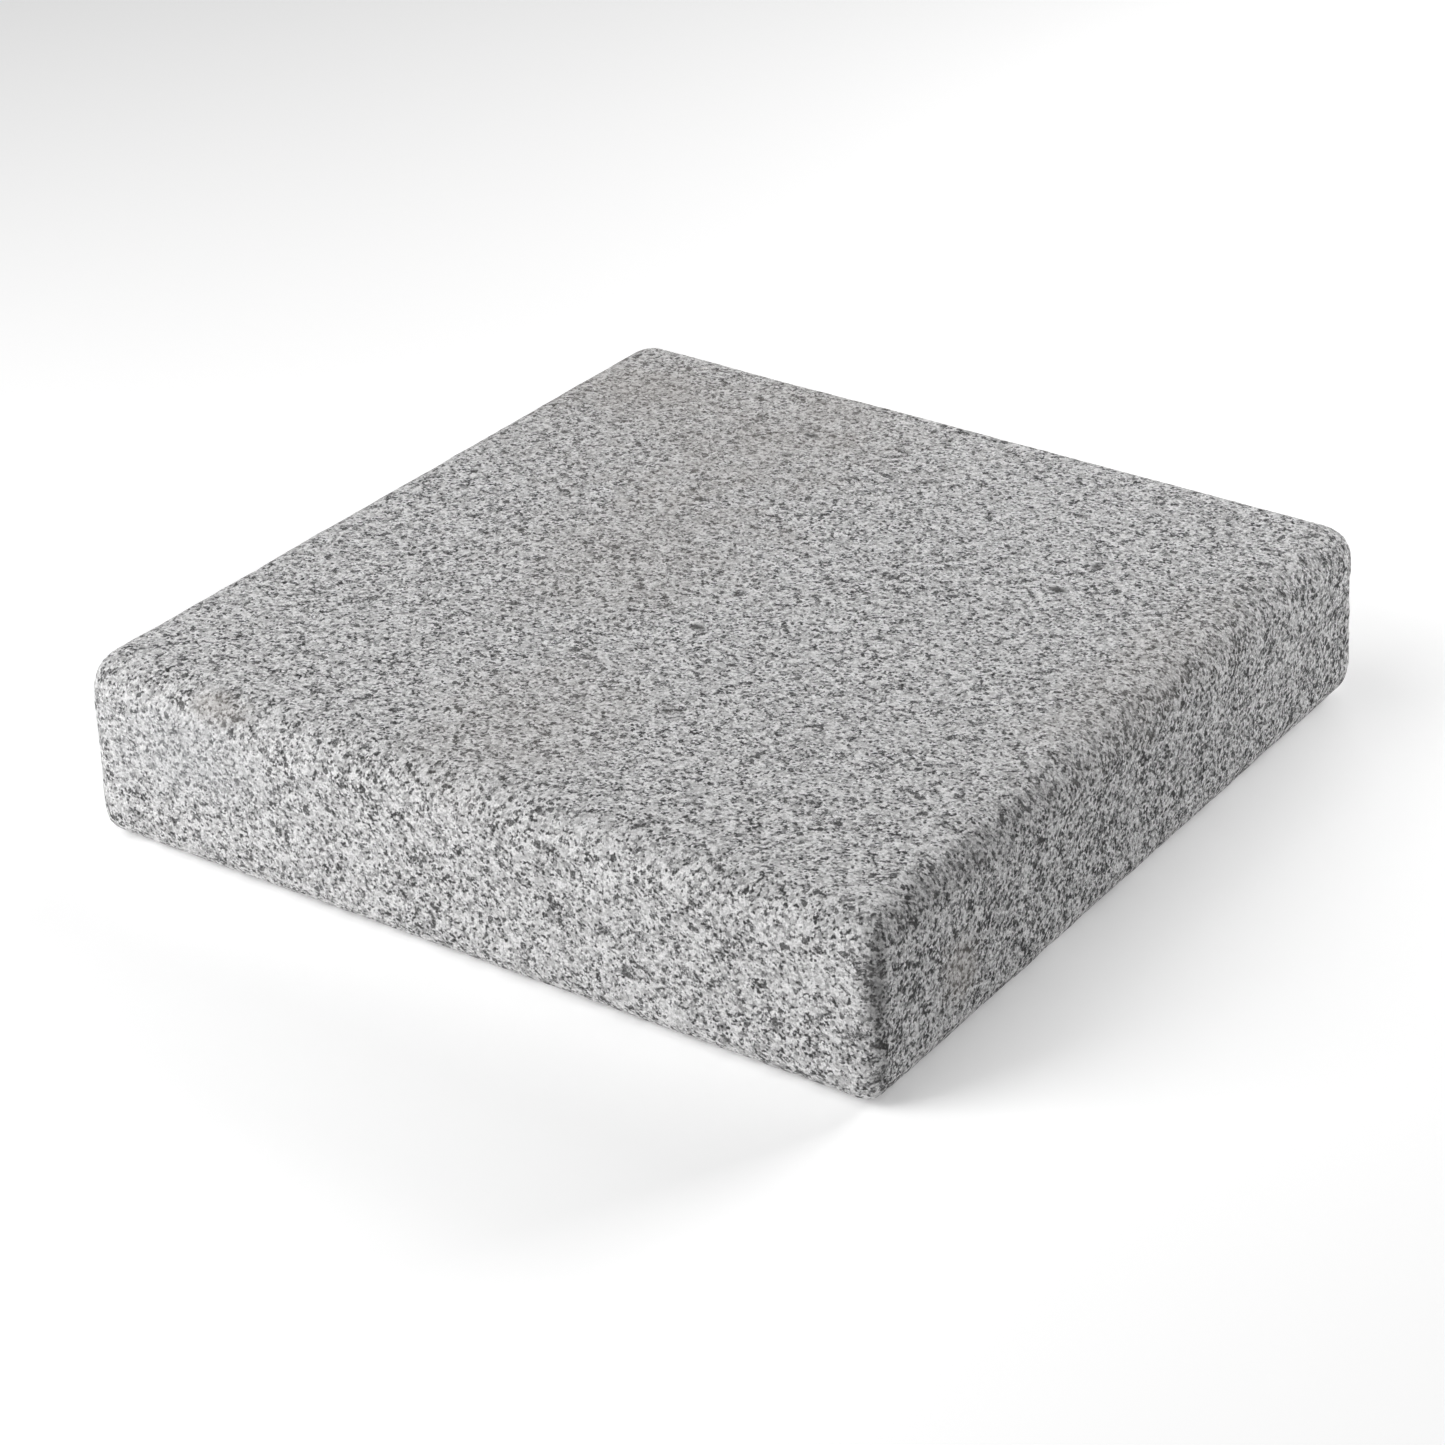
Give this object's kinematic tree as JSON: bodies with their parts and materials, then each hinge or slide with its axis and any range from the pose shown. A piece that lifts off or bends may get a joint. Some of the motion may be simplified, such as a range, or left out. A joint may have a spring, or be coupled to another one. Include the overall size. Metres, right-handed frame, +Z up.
{
  "type": "granite slab",
  "caption": "Thick square slab of light grey granite with a flat working face, rough sides and worn round edges, used as a heavy base for stamping and tooling leather.",
  "frame": {"origin": "middle of the slab's footprint, on its underside", "axes": "+Z up, out of the working face; +X to the right face and +Y to the back face, with the longer side along Y"},
  "size_m": [0.3, 0.3038, 0.063],
  "materials": {
    "granite": "flamed and worn on the working face, hewn on the sides, matt all over"
  },
  "bodies": {
    "root": {"granite_slab": "granite"}
  },
  "joints": []
}
